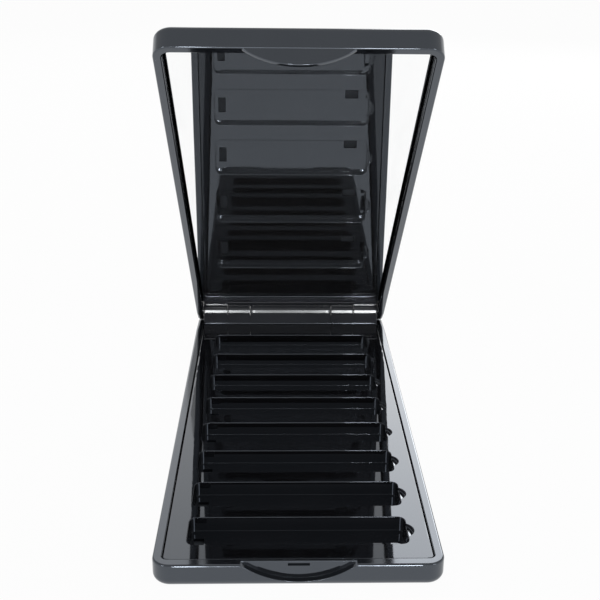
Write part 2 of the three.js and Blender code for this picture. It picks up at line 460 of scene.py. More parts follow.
def eased_arc(centre: Pair, radius: float, start: float, end: float, eased: float) -> Array:
    """Arc in steps of about a degree with one eased stretch.

    Within h of the eased angle e, the reach at angle a is r cos h / cos(a - e) + crown (1 - ((a - e) / h)^2),
    which is the chord and a low crown over it. Elsewhere it is r.

    Args:
        centre: centre of the arc.
        radius: its radius r.
        start: first angle in degrees.
        end: last angle in degrees.
        eased: middle of the eased stretch, in degrees.

    Returns:
        The points, shape (n, 2).
    """
    angle = np.radians(np.linspace(start, end, round(abs(end - start)) + 1))
    half = math.radians(EASED_HALF)
    turn = np.clip(angle - math.radians(eased), -half, half)
    reach = radius * math.cos(half) / np.cos(turn) + EASED_CROWN * (1 - (turn / half) ** 2)
    return np.array(centre) + reach[:, None] * np.stack([np.cos(angle), np.sin(angle)], 1)


def clean_mesh(name: str, patch: Patch) -> bpy.types.Mesh:
    """Makes a mesh of one closed body, with doubles merged, slivers dropped and faces turned outwards.

    Args:
        name: name of the mesh.
        patch: the body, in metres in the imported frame.

    Returns:
        The mesh.
    """
    mesh = bpy.data.meshes.new(name)
    mesh.from_pydata(patch.points.tolist(), [], patch.faces)
    work = bmesh.new()
    work.from_mesh(mesh)
    bmesh.ops.remove_doubles(work, verts=work.verts, dist=WELD)
    bmesh.ops.dissolve_degenerate(work, edges=work.edges, dist=WELD)
    bmesh.ops.recalc_face_normals(work, faces=work.faces)
    work.to_mesh(mesh)
    work.free()
    return mesh


def cut(piece: Piece, tools: Patch, place: Placing) -> None:
    """Cuts closed bodies out of a piece for good.

    Args:
        piece: the piece.
        tools: one patch that holds the bodies as drawn, in millimetres.
        place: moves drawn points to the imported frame.
    """
    cutter = bpy.data.objects.new("cutter", clean_mesh("cutter", Patch(place(tools.points), tools.faces)))
    bpy.context.collection.objects.link(cutter)
    modifier = piece.modifiers.new("cut", "BOOLEAN")
    modifier.operation, modifier.solver, modifier.object = "DIFFERENCE", "EXACT", cutter
    solid = bpy.data.meshes.new_from_object(piece.evaluated_get(bpy.context.evaluated_depsgraph_get()))
    piece.modifiers.clear()
    piece.data = solid
    bpy.data.objects.remove(cutter)


def make_piece(name: str, bodies: Sequence[Patch], place: Placing) -> Piece:
    """Makes one object of closed bodies.

    Args:
        name: name of the piece.
        bodies: closed bodies as drawn, in millimetres.
        place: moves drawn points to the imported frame.

    Returns:
        The object, at the origin.
    """
    whole = bmesh.new()
    for body in bodies:
        part = clean_mesh(name, Patch(place(body.points), body.faces))
        whole.from_mesh(part)
        bpy.data.meshes.remove(part)
    mesh = bpy.data.meshes.new(name)
    whole.to_mesh(mesh)
    whole.free()
    piece = bpy.data.objects.new(name, mesh)
    bpy.context.collection.objects.link(piece)
    return piece


def absorb(piece: Piece, other: Piece) -> None:
    """Adds another object's bodies to a piece, and removes that object.

    Args:
        piece: the piece that stays.
        other: the object that is taken up.
    """
    whole = bmesh.new()
    for source in (piece, other):
        whole.from_mesh(source.data)
    whole.to_mesh(piece.data)
    whole.free()
    bpy.data.objects.remove(other)


def dress(piece: Piece, material: Material, slot: Slot, body: Body, *nodes: str) -> None:
    """Shades a piece, gives it its finish and hangs it on its body.

    Args:
        piece: the finished piece.
        material: its finish.
        slot: the record's slot of that finish, not used.
        body: the body that it rides on.
        nodes: the solids that it stands for.
    """
    mesh = piece.data
    mesh.materials.clear()
    mesh.materials.append(material)
    mesh.polygons.foreach_set("use_smooth", np.ones(len(mesh.polygons), bool))
    mesh.set_sharp_from_angle(angle=math.radians(SHARP_TURN))
    weighted = piece.modifiers.new("flat faces stay flat", "WEIGHTED_NORMAL")
    weighted.mode, weighted.weight, weighted.keep_sharp = "FACE_AREA", FACE_WEIGHT, True
    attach(piece, body.value)
    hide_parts(*nodes)
    log.info("%s rides on %s", piece.name, body.value)


class Nodes:
    """A node tree, with short ways to add and join nodes."""

    def __init__(self, tree: bpy.types.NodeTree) -> None:
        """Takes the tree that the nodes go into."""
        self.tree = tree

    def add(self, kind: str, **settings: object) -> bpy.types.Node:
        """Adds a node.

        Args:
            kind: Blender's name of its type.
            settings: properties to set on it.

        Returns:
            The node.
        """
        node = self.tree.nodes.new(kind)
        for key, value in settings.items():
            setattr(node, key, value)
        return node

    def join(self, source: Socket, target: Socket) -> None:
        """Links an output to an input."""
        self.tree.links.new(source, target)

    def between(self, value: Socket, start: float, end: float, low: float, high: float) -> Socket:
        """Maps a value from one range to another, clamped.

        Args:
            value: the value.
            start: value that becomes low.
            end: value that becomes high.
            low: first end of the new range.
            high: last end of the new range.

        Returns:
            The mapped value.
        """
        node = self.add("ShaderNodeMapRange")
        for socket, number in zip(("From Min", "From Max", "To Min", "To Max"), (start, end, low, high)):
            node.inputs[socket].default_value = number
        self.join(value, node.inputs["Value"])
        return node.outputs["Result"]

    def combine(self, way: Blend, first: Socket, second: Socket) -> Socket:
        """Combines two values into one from 0 to 1.

        Args:
            way: how they are combined.
            first: one value.
            second: the other value.

        Returns:
            The combined value.
        """
        node = self.add("ShaderNodeMath", operation=way.value, use_clamp=True)
        self.join(first, node.inputs[0])
        self.join(second, node.inputs[1])
        return node.outputs["Value"]

    def seen_rays(self) -> Socket:
        """Tells rays that show a surface, straight, in a gloss or through glass, from rays that only light.

        Returns:
            1 for rays that show it and 0 for lighting rays.
        """
        path = self.add("ShaderNodeLightPath")
        total = path.outputs["Is Camera Ray"]
        for name in ("Is Glossy Ray", "Is Transmission Ray"):
            total = self.combine(Blend.SUM, total, path.outputs[name])
        return total


@dataclass(frozen=True)
class Pattern:
    """A noise over a piece.

    Attributes:
        cells: cells to a metre.
        octaves: octaves of detail.
        stretch: scale along each axis.
        spread: values between which it is drawn out to its full range.
    """

    cells: float
    octaves: float
    stretch: Triple = (1, 1, 1)
    spread: Pair = (0.0, 1.0)


@dataclass(frozen=True)
class Box:
    """A box on a piece.

    Attributes:
        middle: its centre in metres.
        half: half its sizes in metres.
        fade: share of its half sizes at which it begins to end.
    """

    middle: Triple
    half: Triple
    fade: float = 0.99


class FinishNodes(Nodes):
    """The node tree of a principled material that reads Object coordinates."""

    def __init__(self, name: str) -> None:
        """Starts a material.

        Args:
            name: its name.
        """
        self.material = bpy.data.materials.new(name)
        self.material.use_nodes = True
        super().__init__(self.material.node_tree)
        self.shader = self.tree.nodes["Principled BSDF"]
        self.place = self.add("ShaderNodeTexCoord").outputs["Object"]

    def constant(self, socket: str, value: float | tuple) -> None:
        """Sets a constant on a socket of the shader."""
        self.shader.inputs[socket].default_value = value

    def noise(self, pattern: Pattern) -> Socket:
        """Noise over the piece.

        Args:
            pattern: the noise.

        Returns:
            The noise value, about 0 to 1.
        """
        mapping = self.add("ShaderNodeMapping")
        mapping.inputs["Scale"].default_value = pattern.stretch
        self.join(self.place, mapping.inputs["Vector"])
        noise = self.add("ShaderNodeTexNoise")
        noise.inputs["Scale"].default_value = pattern.cells
        noise.inputs["Detail"].default_value = pattern.octaves
        self.join(mapping.outputs["Vector"], noise.inputs["Vector"])
        return noise.outputs["Fac"]

    def colour(self, value: Socket, low: Triple, high: Triple) -> None:
        """Colours the material between two colours.

        Args:
            value: 0 for the first colour to 1 for the second.
            low: the first colour.
            high: the second colour.
        """
        node = self.add("ShaderNodeMix", data_type="RGBA")
        colours = [s for s in node.inputs if s.type == "RGBA"]
        colours[0].default_value = (*low, 1)
        colours[1].default_value = (*high, 1)
        self.join(value, node.inputs["Factor"])
        mixed = next(s for s in node.outputs if s.type == "RGBA")
        self.join(mixed, self.shader.inputs["Base Color"])

    def within(self, box: Box, inside: float) -> Socket:
        """A value inside a box and 0 outside it, by the greatest share of its half sizes on any axis.

        Args:
            box: the box.
            inside: the value inside.

        Returns:
            The value at each place.
        """
        place = self.place
        for operation, vector in (("SUBTRACT", box.middle), ("DIVIDE", box.half), ("ABSOLUTE", None)):
            node = self.add("ShaderNodeVectorMath", operation=operation)
            if vector:
                node.inputs[1].default_value = vector
            self.join(place, node.inputs[0])
            place = node.outputs["Vector"]
        axes = self.add("ShaderNodeSeparateXYZ")
        self.join(place, axes.inputs[0])
        plan = self.combine(Blend.LARGER, axes.outputs["X"], axes.outputs["Y"])
        share = self.combine(Blend.LARGER, plan, axes.outputs["Z"])
        return self.between(share, box.fade, 1, inside, 0)

    def bump(self, value: Socket, strength: float, depth: float) -> None:
        """Presses a value into the surface as relief.

        Args:
            value: the relief, 0 to 1.
            strength: share of the relief that shows.
            depth: its depth in metres.
        """
        node = self.add("ShaderNodeBump")
        node.inputs["Strength"].default_value = strength
        node.inputs["Distance"].default_value = depth
        self.join(value, node.inputs["Height"])
        self.join(node.outputs["Normal"], self.shader.inputs["Normal"])


@dataclass(frozen=True)
class MouldedPlastic:
    """Moulded plastic: a colour that drifts a little, a gloss with faint handling marks, and a fine relief.

    Attributes:
        name: name of the material.
        dark: darker colour of the drift.
        pale: paler colour of the drift.
        gloss: least roughness.
        haze: most roughness.
        grain: pattern of the relief.
        relief: depth of the relief in metres.
        index: index of refraction of its skin.
        sheen: tint of its reflections.
        unpolished: box that is left unpolished.
        matte: roughness of that box.
        drift: pattern of the colour.
        marks: pattern of the handling marks.
        strength: share of the relief that shows.
    """

    name: str
    dark: Triple
    pale: Triple
    gloss: float
    haze: float
    grain: Pattern
    relief: float
    index: float = 1.9
    sheen: Triple = (0.78, 0.87, 1.0)
    unpolished: Box | None = None
    matte: float = 0.8
    drift: Pattern = Pattern(90, 3, spread=(0.35, 0.65))
    marks: Pattern = Pattern(260, 6, (1, 0.35, 1), (0.4, 0.75))
    strength: float = 0.35

    def build(self) -> Material:
        """Makes the node material.

        Returns:
            The material.
        """
        nodes = FinishNodes(self.name)
        nodes.colour(nodes.between(nodes.noise(self.drift), *self.drift.spread, 0, 1), self.dark, self.pale)
        roughness = nodes.between(nodes.noise(self.marks), *self.marks.spread, self.gloss, self.haze)
        if self.unpolished:
            matte = nodes.within(self.unpolished, self.matte)
            roughness = nodes.combine(Blend.LARGER, roughness, matte)
        nodes.join(roughness, nodes.shader.inputs["Roughness"])
        nodes.constant("IOR", self.index)
        nodes.constant("Specular Tint", (*self.sheen, 1))
        nodes.bump(nodes.noise(self.grain), self.strength, self.relief)
        return nodes.material


@dataclass(frozen=True)
class SilveredGlass:
    """Mirror glass: bright silver with a faint wiped haze and a film of dust.

    Attributes:
        name: name of the material.
        silver: colour of the silver.
        tarnish: colour of the wiped streaks.
        polish: least roughness.
        haze: most roughness.
        film: share of the dust.
        streaks: pattern of the streaks.
    """

    name: str
    silver: Triple
    tarnish: Triple
    polish: float
    haze: float
    film: float = 0.006
    streaks: Pattern = Pattern(140, 5, (1, 0.3, 0.3), (0.5, 0.8))

    def build(self) -> Material:
        """Makes the node material.

        Returns:
            The material.
        """
        nodes = FinishNodes(self.name)
        streaks, spread = nodes.noise(self.streaks), self.streaks.spread
        nodes.colour(nodes.between(streaks, *spread, 0, 1), self.silver, self.tarnish)
        roughness = nodes.between(streaks, *spread, self.polish, self.haze)
        nodes.join(roughness, nodes.shader.inputs["Roughness"])
        nodes.constant("Metallic", 1 - self.film)
        return nodes.material


@dataclass(frozen=True)
class DrawnSteel:
    """Drawn steel wire with fine lines along its length.

    Attributes:
        name: name of the material.
        steel: colour between the lines.
        shadow: colour of the lines.
        roughness: least and most roughness.
        lines: pattern of the lines.
        strength: share of the relief that shows.
        relief: depth of the lines in metres.
    """

    name: str
    steel: Triple
    shadow: Triple
    roughness: Pair
    lines: Pattern = Pattern(2600, 3, (0.05, 1, 1), (0.3, 0.7))
    strength: float = 0.2
    relief: float = 0.00001

    def build(self) -> Material:
        """Makes the node material.

        Returns:
            The material.
        """
        nodes = FinishNodes(self.name)
        lines = nodes.noise(self.lines)
        nodes.colour(lines, self.shadow, self.steel)
        roughness = nodes.between(lines, *self.lines.spread, *self.roughness)
        nodes.join(roughness, nodes.shader.inputs["Roughness"])
        nodes.constant("Metallic", 1.0)
        nodes.bump(lines, self.strength, self.relief)
        return nodes.material


@dataclass(frozen=True)
class FoamTape:
    """White foam tape with open cells at its cut edges, painted darker in their hollows as shade.

    Attributes:
        name: name of the material.
        foam: colour of the foam.
        cell: painted shade in the hollows of the open cells.
        cells: pattern of the cells.
        roughness: roughness of the foam.
        strength: share of the relief that shows.
        relief: depth of the cells in metres.
    """

    name: str
    foam: Triple
    cell: Triple
    cells: Pattern = Pattern(4200, 2, spread=(0.35, 0.6))
    roughness: float = 0.85
    strength: float = 0.4
    relief: float = 0.00005

    def build(self) -> Material:
        """Makes the node material.

        Returns:
            The material.
        """
        nodes = FinishNodes(self.name)
        cells = nodes.noise(self.cells)
        # The sunken cells take the darker colour: painted shade in their hollows.
        nodes.colour(nodes.between(cells, *self.cells.spread, 0, 1), self.cell, self.foam)
        nodes.constant("Roughness", self.roughness)
        nodes.bump(cells, self.strength, self.relief)
        return nodes.material


@dataclass(frozen=True)
class ThumbRecess:
    """Round-bottomed thumb recess in the base's front wall: a cylinder along Y that dips below the rim plane.

    Attributes:
        radius: radius of the cylinder.
        depth: depth of the recess below the rim plane.
        setback: how far the recess's wall stands behind the outer face.
    """

    radius: float = 21.0
    depth: float = 4.25
    setback: float = 1.6

    @property
    def half_width(self) -> float:
        """Half of the recess's width at the rim plane."""
        return math.sqrt(self.radius**2 - (self.radius - self.depth) ** 2)

    def height(self, x: Array, clearance: float = 0.0) -> Array:
        """Height of the recess's bottom at x, radius - depth - sqrt((radius - clearance)^2 - x^2)."""
        return self.radius - self.depth - np.sqrt(np.maximum((self.radius - clearance) ** 2 - x**2, 0))

    def mouth(self, x: Array) -> Array:
        """How far behind the outer face the rim plane is cut at x: the setback in the recess, 0 beside it."""
        return np.where(np.abs(x) < self.half_width, self.setback, 0.0)


@dataclass
class BaseCase:
    """Lower case: outer wall, rim, tray ledge, thumb recess with latch slot, and three barrels.

    Sizes are in millimetres. The eased front and the saddle's foot are angles about the hinge in degrees.
    """

    case: CaseFrame
    thumb: ThumbRecess = field(default_factory=ThumbRecess)
    side_wall: float = 2.1
    front_rim: float = 2.5
    front_corner: float = 4.0
    rear_corner: float = 2.6
    bottom_edge: float = 2.0
    bottom_inset: float = 3.0
    bottom_steps: int = 9
    floor: float = 0.9
    floor_edge: float = 0.4
    floor_inset: float = 1.2
    ledge_depth: float = 1.55
    ledge_width: float = 1.2
    ledge_edge: float = 0.15
    pocket_corner: float = 1.4
    rear_rim: float = 0.55
    rim_edge: float = 0.4
    rear_edge: float = 1.0
    seat_edge: float = 0.2
    bevel_share: float = 0.3
    bevel_ease: float = 1.75
    recess_edge: float = 0.2
    recess_margin: float = 0.05
    recess_steps: int = 106
    front_places: Pair = (19.0, 26.0)
    rear_reach: float = 27.0
    lip_edge: float = 0.1
    foot_edge: float = 0.02
    hidden_edge: float = 0.02
    barrel_radius: float = 3.1
    barrel_half: float = 29.8
    outer_split: float = 21.6
    inner_split: float = 13.9
    gap: float = 0.3
    split_gap: float = 0.14
    barrel_edge: float = 0.08
    leg_steps: int = 5
    eased_front: float = 167.7
    saddle_lip: float = 0.3
    saddle_gap: float = 0.2
    saddle_top: float = 3.0
    saddle_foot: float = 255.0
    saddle_steps: int = 16
    pin_radius: float = 0.8
    pin_reach: float = 4.5
    bore_edge: float = 0.01
    latch_half: float = 2.4
    latch_top: float = 0.4
    latch_height: float = 0.8
    latch_depth: float = 0.5

    @property
    def barrel_front(self) -> float:
        """Y of the barrel's front plane."""
        return self.case.axis_y - self.barrel_radius

    def stations(self) -> Stations:
        """Points along the base's loops, close together across the thumb recess.

        Returns:
            The places that all of the base's loops share.
        """
        side = self.thumb.half_width
        across = spaced(side - NEAR, self.recess_steps)
        beside = np.array([side + self.recess_margin, *self.front_places])
        front_x = np.concatenate([-beside[::-1], across, beside])
        return Stations(front_x, spaced(self.rear_reach, len(SIDE_PLACES)), SIDE_PLACES, CORNER_STEPS)

    def shell(self) -> Patch:
        """The moulded shell as one profile carried round the plan outline.

        Outside in, the profile is the bottom's flat, a quarter round inset by r (1 - cos t) at the height
        r (1 - sin t), the outer wall, the thumb recess's ledge and wall, the rim, the ledge and the floor.
        The recess's ledge and wall shrink to the rim's edge beside it.

        Returns:
            The closed shell.
        """
        case, stations = self.case, self.stations()
        half = case.width / 2
        outer = Rectangle(-half, half, 0, case.length, self.front_corner, self.rear_corner)
        loop, inward = stations.loop(outer)
        on_front = np.zeros(len(loop), bool)
        on_front[: len(stations.front_x)] = True
        on_rear = (inward[:, 1] == -1.0) & (np.abs(loop[:, 0]) <= self.rear_reach)
        x = loop[:, 0]
        setback = np.where(on_front, self.thumb.mouth(x), 0)
        ledge = np.where(on_front, np.minimum(self.thumb.height(x), 0), 0)
        behind = np.clip((loop[:, 1] - self.barrel_front) / self.barrel_radius, 0, 1)
        edge = np.where(on_rear, self.hidden_edge, self.rim_edge + (self.rear_edge - self.rim_edge) * behind)

        def drawn_in(distance: Array) -> Array:
            """The outer loop drawn in by a distance at each point."""
            return loop + inward * distance[:, None]

        def round_angle(height: Array) -> Array:
            """Angle on the bottom's round at a height."""
            return np.arcsin(np.clip(1 - (height + case.height) / self.bottom_edge, 0, 1))

        pocket_half, corner = half - self.side_wall, self.pocket_corner
        pocket_rear = self.barrel_front - self.rear_rim
        seat = Rectangle(-pocket_half, pocket_half, self.front_rim, pocket_rear, corner, corner)
        well_half, well_front = pocket_half - self.ledge_width, self.front_rim + self.ledge_width
        well = Rectangle(-well_half, well_half, well_front, pocket_rear - self.ledge_width, corner, corner)
        seat_loop, well_loop = stations.loop(seat)[0], stations.loop(well)[0]
        bottom, floor = -case.height, self.floor - case.height
        wall_top = np.minimum(ledge, -edge)
        last_turn = round_angle(wall_top - 3 * self.lip_edge)
        turn = np.linspace(math.pi / 2, last_turn, self.bottom_steps).T[..., None]
        inset, rise = self.bottom_edge * (1 - np.cos(turn)), self.bottom_edge * (1 - np.sin(turn))
        foot = np.concatenate([loop[:, None] + inward[:, None] * inset, bottom + rise], 2)
        flat = at_height(stations.loop(outer.inset(self.bottom_inset))[0], bottom)
        bevel = self.bevel_share * edge
        corners = np.stack([
            foot[:, -1],
            at_height(drawn_in(self.bottom_edge * (1 - np.cos(round_angle(wall_top)))), wall_top),
            at_height(drawn_in(np.maximum(setback, bevel)), np.minimum(ledge, -bevel)),
            at_height(drawn_in(np.maximum(setback, edge)), 0.0),
            at_height(seat_loop, 0.0),
            at_height(seat_loop, -self.ledge_depth),
            at_height(well_loop, -self.ledge_depth),
            at_height(well_loop, floor),
            at_height(stations.loop(well.inset(self.floor_inset))[0], floor),
        ], 1)
        inside = [self.seat_edge, self.ledge_edge, self.ledge_edge, self.floor_edge]
        radii = np.tile([0, 0, 0, 0, *inside, 0], (len(loop), 1))
        radii[:, 1:4] = self.bevel_ease * edge[:, None]
        radii[setback > 0, 1:4] = self.lip_edge, self.foot_edge, self.recess_edge
        upper = rounded_profile(corners, radii, ROUND_STEPS)[:, 1:]
        return Patch.loft(np.concatenate([flat[:, None], foot, upper], 1))

    def barrel(self, left: float, right: float) -> Patch:
        """A stretch of barrel: an arch of the barrel's radius on straight legs, carried along X.

        Args:
            left: x of one end.
            right: x of the other end.

        Returns:
            The closed stretch.
        """
        front, rear, top = self.barrel_front, self.case.axis_y + self.barrel_radius, self.case.axis_z
        arch = eased_arc(self.case.axis, self.barrel_radius, 0, 180, self.eased_front)
        rear_leg = line_points((rear, 0), (rear, top), self.leg_steps)
        front_leg = line_points((front, top), (front, 0), self.leg_steps)[1:]
        foot = line_points((front, 0), (rear, 0), self.leg_steps)
        outline = np.concatenate([rear_leg, arch, front_leg, foot])
        return prism_along_x(outline, left, right, self.barrel_edge)

    def saddle(self, left: float, right: float) -> Patch:
        """Saddle under a lug: a low wall before the barrel's front, hollowed round the lug, carried along X.

        Args:
            left: x of one end.
            right: x of the other end.

        Returns:
            The closed saddle.
        """
        hollow, front = self.barrel_radius + self.saddle_gap, self.barrel_front - self.saddle_lip
        high = 180 + math.degrees(math.asin((self.case.axis_z - self.saddle_top) / hollow))
        arc = arc_points(self.case.axis, hollow, self.saddle_foot, high, self.saddle_steps)
        outline = np.concatenate([[[front, 0.0], [arc[0, 0], 0.0]], arc, [[front, self.saddle_top]]])
        return prism_along_x(outline, left, right, self.hidden_edge)

    def pin_bores(self) -> Patch:
        """Rods that the room round the two pins is cut with.

        Returns:
            Two rods, from the pins' inner ends to outside the lid's ears.
        """
        near, far = self.inner_split - self.pin_reach - self.gap, self.case.width
        radius = self.pin_radius + self.gap
        ends = ((-far, -near), (near, far))
        return joined([rod_patch(*pair, self.case.axis, radius, self.bore_edge) for pair in ends])

    def latch_slot(self) -> Patch:
        """Box that the latch slot is cut with.

        Returns:
            The box, in the recess's wall.
        """
        wall = self.thumb.setback
        low = (-self.latch_half, wall - self.latch_depth, -self.latch_top - self.latch_height)
        return box_patch(low, (self.latch_half, wall + self.latch_depth, -self.latch_top))

    def build(self, plastic: Material, hinge_painted_light: Material) -> None:
        """Makes and dresses the base, with its barrels and saddles.

        Args:
            plastic: finish of the case.
            hinge_painted_light: finish of the hinge, a satin copy of the case plastic whose paler colour is
                painted light.
        """
        half_gap = self.split_gap / 2
        spans = [
            (-self.barrel_half, -self.outer_split - half_gap),
            (-self.inner_split + half_gap, self.inner_split - half_gap),
            (self.outer_split + half_gap, self.barrel_half),
        ]
        place = self.case.base_points
        piece = make_piece("base_case", [self.shell()], place)
        cut(piece, self.latch_slot(), place)
        dress(piece, plastic, Slot.CASE, Body.BASE, "base_shell")
        saddles = [self.saddle(before[1], after[0]) for before, after in zip(spans, spans[1:])]
        barrels = make_piece("base_barrels", [self.barrel(*span) for span in spans] + saddles, place)
        cut(barrels, self.pin_bores(), place)
        dress(barrels, hinge_painted_light, Slot.CASE, Body.BASE, "base_shell")


@dataclass
class WellTray:
    """Glossy insert: a deck with eight long wells, each with a finger notch and two small floor slots.

    A slot is x, offset from the well's middle, width and length. The corner spread is how far from a sharp
    corner the points of its arc are set along a side.
    """

    case: CaseFrame
    base: BaseCase
    drop: float = 0.25
    thickness: float = 1.0
    corner: float = 1.1
    border: float = 0.6
    border_steps: int = 5
    count: int = 8
    well_length: float = 50.0
    well_width: float = 11.5
    pitch: float = 16.53
    first_centre: float = 14.3
    depth: float = 3.6
    well_corner: float = 1.8
    well_steps: int = 6
    wall: float = 0.6
    deck_edge: float = 0.15
    floor_edge: float = 0.06
    floor_inset: float = 1.5
    under_inset: float = 1.0
    notch_radius: float = 3.2
    notch_reach: float = 1.55
    notch_depth: float = 0.7
    notch_slope: float = 0.25
    notch_edge: float = 0.15
    notch_lip: float = 0.3
    notch_steps: int = 19
    beside_notch: Pair = (3.3, 3.9)
    slots: tuple[tuple[float, float, float, float], ...] = ((19.6, -3.9, 4.3, 3.1), (-22.7, 0.0, 2.4, 4.8))
    slot_rise: float = 1.0
    straight_steps: int = 13
    arc: int = 6
    corner_spread: tuple[float, ...] = (1.0, 0.5, 0.25, 0.0, 0.0, 0.0, 0.0)

    def centre(self, index: int) -> float:
        """Y of the middle of a well, numbered from the front."""
        return self.first_centre + index * self.pitch

    def cell_loop(self, stations: Stations, shape: Rectangle) -> Array:
        """Walks round a sharp rectangle with the same count of points as a rounded one.

        The points of each corner's arc are shared out along the two sides that meet there.

        Args:
            stations: the places that the cell's loops share.
            shape: the rectangle.

        Returns:
            The points, shape (n, 2).
        """
        loop = stations.loop(shape)[0]
        along = np.array(self.corner_spread)
        across, arc, side = along[::-1], len(along), len(stations.side_y)
        starts = np.cumsum([len(stations.front_x), arc, side, arc, len(stations.rear_x), arc, side])[::2]
        s = shape
        spread = [
            np.stack([s.right - along, s.front + across], 1), np.stack([s.right - across, s.rear - along], 1),
            np.stack([s.left + along, s.rear - across], 1), np.stack([s.left + across, s.front + along], 1),
        ]
        for start, points in zip(starts, spread):
            loop[start:start + arc] = points
        return loop

    def well_loop(self, stations: Stations, centre: float, grow: float, notched: bool) -> Array:
        """Outline of a well grown by a wall, with or without the finger notch at its right end.

        In the notch x = x0 + max(0, sqrt(R^2 - dy^2) - (R - reach)), R being the notch's radius.

        Args:
            stations: the places that the cell's loops share.
            centre: y of the well's middle.
            grow: how far the outline is grown.
            notched: adds the notch.

        Returns:
            The points, shape (n, 2).
        """
        half_length, half_width = self.well_length / 2 + grow, self.well_width / 2 + grow
        radius = self.well_corner + grow
        shape = Rectangle(-half_length, half_length, centre - half_width, centre + half_width, radius, radius)
        loop = stations.loop(shape)[0]
        if notched:
            circle = self.notch_radius + grow
            from_centre = np.minimum(np.abs(loop[:, 1] - centre), circle)
            bulge = np.sqrt(circle**2 - from_centre**2) - (circle - self.notch_reach)
            loop[:, 0] += np.where(loop[:, 0] > half_length - SAME, np.maximum(bulge, 0), 0)
        return loop

    def cell(self, index: int, shape: Rectangle, under: bool) -> tuple[Patch, Array]:
        """One well with the stretch of deck round it, seen from above or from under.

        The profile runs from the cell's edge to the well's rim, down the wall, over the notch's floor, which
        falls by its slope towards the notch's end, down to the well's floor and inwards.

        Args:
            index: number of the well from the front.
            shape: the stretch of deck, with sharp corners.
            under: draws the cup's underside, a wall's thickness outside the well.

        Returns:
            The patch and its outer loop.
        """
        centre = self.centre(index)
        notch_half = math.sqrt(self.notch_radius**2 - (self.notch_radius - self.notch_reach) ** 2)
        beside = np.array(self.beside_notch)
        dy = np.concatenate([-beside[::-1], spaced(notch_half, self.notch_steps), beside])
        straight = spaced(STRAIGHT_REACH, self.straight_steps)
        stations = Stations(straight, straight, centre + dy, self.arc)
        grow = self.wall if under else 0.0
        deck = -self.drop - (self.thickness if under else 0.0)
        floor = -self.drop - self.depth - grow
        rim = self.well_loop(stations, centre, grow, True)
        plain = self.well_loop(stations, centre, grow, False)
        inset = self.under_inset if under else self.floor_inset
        middle = self.well_loop(stations, centre, -inset, False)
        outer = self.cell_loop(stations, shape)
        notch = -self.drop - self.notch_depth - grow
        notch_end = notch - self.notch_slope * (rim[:, 0] - plain[:, 0])
        corners = np.stack([
            at_height(outer, deck), at_height(rim, deck), at_height(rim, notch_end),
            at_height(plain, notch), at_height(plain, floor), at_height(middle, floor),
        ], 1)
        radii = [0, self.deck_edge, self.notch_edge, self.notch_lip, self.floor_edge, 0]
        grid = rounded_profile(corners, radii, self.well_steps)
        return Patch.loft(grid, first_cap=False), at_height(outer, deck)

    def border_ring(self, tops: list[Array], unders: list[Array], deck: Rectangle) -> Patch:
        """Rounded outer edge of the deck, from the cells' outer points over the edge to the underside.

        Args:
            tops: the cells' outer loops on the deck.
            unders: the same under it.
            deck: the deck's outline.

        Returns:
            The ring, open where the cells join it.
        """
        inner = deck.inset(self.border)

        def sides(points: Array) -> Array:
            """Tells on which of the inner rectangle's edges points lie.

            Args:
                points: points of shape (n, 2) or more.

            Returns:
                -1, 0 or 1 in x and y for the low edge, neither, or the high edge, shape (n, 2).
            """
            x, y = points[:, 0], points[:, 1]
            on_x = np.where(np.abs(np.abs(x) - inner.right) < NEAR, np.sign(x), 0)
            on_y = 1.0 * (np.abs(y - inner.rear) < NEAR) - 1.0 * (np.abs(y - inner.front) < NEAR)
            return np.stack([on_x, on_y], 1)

        def edge_points(loops: list[Array]) -> Array:
            """The loops' points on the cells' outer edge, in order round the deck.

            Args:
                loops: the cells' outer loops.

            Returns:
                The points, each once, shape (n, 3).
            """
            points = np.unique(np.round(np.concatenate(loops), DECIMALS), axis=0)
            points = points[sides(points).any(1)]
            middle = (inner.front + inner.rear) / 2
            turn = np.arctan2((points[:, 1] - middle) / (inner.rear - middle), points[:, 0] / inner.right)
            return points[np.argsort(turn)]

        top, under = edge_points(tops), edge_points(unders)
        edge = top[:, :2] + sides(top) * self.border
        centre_x = np.clip(edge[:, 0], deck.left + self.corner, deck.right - self.corner)
        centre_y = np.clip(edge[:, 1], deck.front + self.corner, deck.rear - self.corner)
        offset = edge - np.stack([centre_x, centre_y], 1)
        length = np.linalg.norm(offset, axis=1, keepdims=True)
        in_corner = (np.abs(offset) > SAME).all(1, keepdims=True)
        rounded = edge - offset + offset / np.maximum(length, TINY) * self.corner
        edge = np.where(in_corner, rounded, edge)
        corners = np.stack([top, at_height(edge, top[0, 2]), at_height(edge, under[0, 2]), under], 1)
        grid = rounded_profile(corners, [0, self.deck_edge, self.deck_edge, 0], self.border_steps)
        return Patch.loft(grid, first_cap=False, last_cap=False)

    def slot_boxes(self) -> Patch:
        """Boxes that the floor slots are cut with.

        Returns:
            One patch with two boxes to a well.
        """
        floor = -self.drop - self.depth
        boxes = []
        for centre in map(self.centre, range(self.count)):
            for x, dy, width, length in self.slots:
                low = (x - width / 2, centre + dy - length / 2, floor - 2 * self.wall)
                high = (x + width / 2, centre + dy + length / 2, floor + self.slot_rise)
                boxes.append(box_patch(low, high))
        return joined(boxes)

